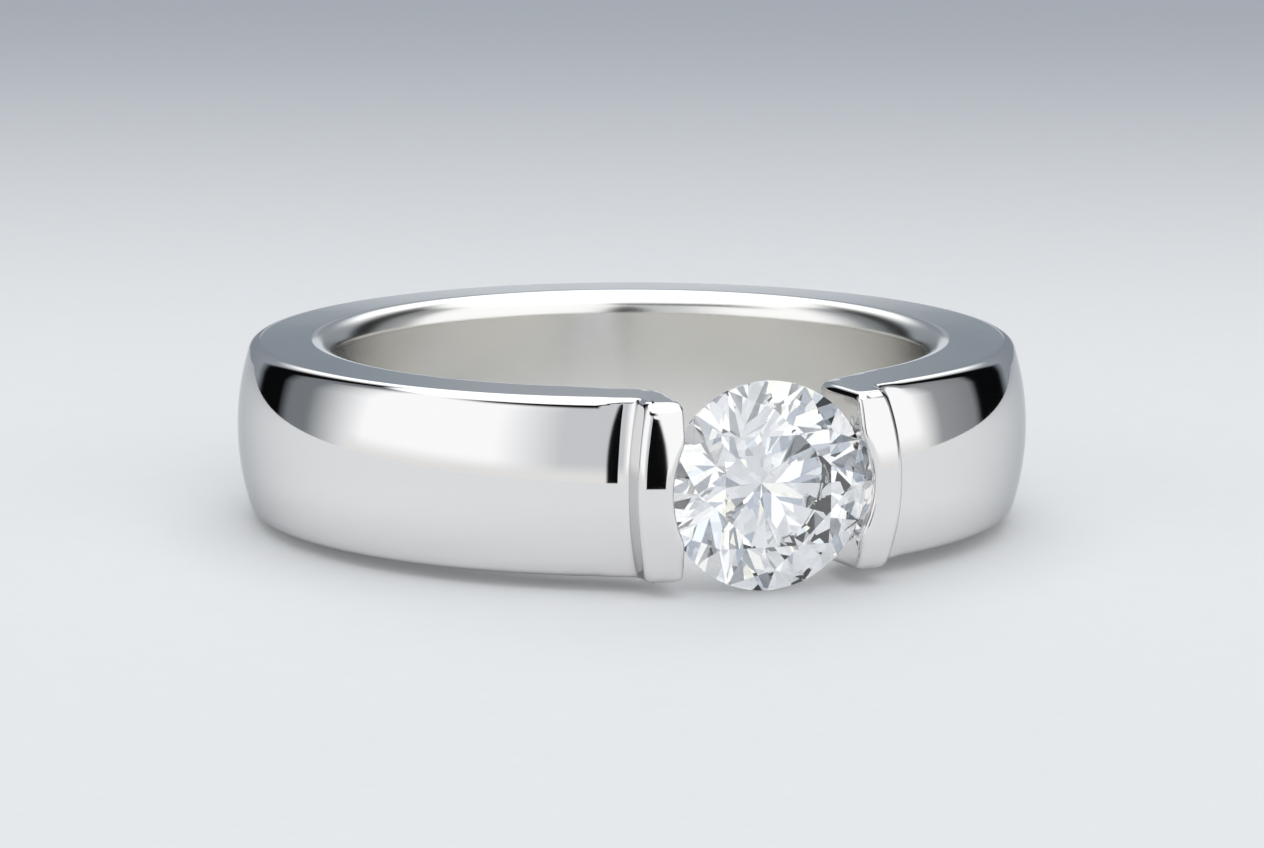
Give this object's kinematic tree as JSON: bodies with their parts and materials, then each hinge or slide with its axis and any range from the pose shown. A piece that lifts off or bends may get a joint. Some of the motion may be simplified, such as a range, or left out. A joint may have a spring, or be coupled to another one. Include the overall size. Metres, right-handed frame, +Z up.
{
  "type": "tension set ring",
  "caption": "Polished white metal finger ring, cut open at the front, that grips a round brilliant stone by its girdle between two raised end bars.",
  "frame": {"origin": "middle of the ring's box on the surface that it rests on, lying on its side", "axes": "-Y from the back of the band towards the stone, +Z up out of the surface; the finger hole's axis leans back from +Z by the rest tilt, about 1.1 degrees, because the stone is wider than the band"},
  "size_m": [0.022, 0.0226, 0.0056],
  "materials": {
    "white_gold": "mirror polished",
    "diamond": "cut and polished facets"
  },
  "bodies": {
    "root": {"band": "white_gold", "stone": "diamond"}
  },
  "joints": []
}
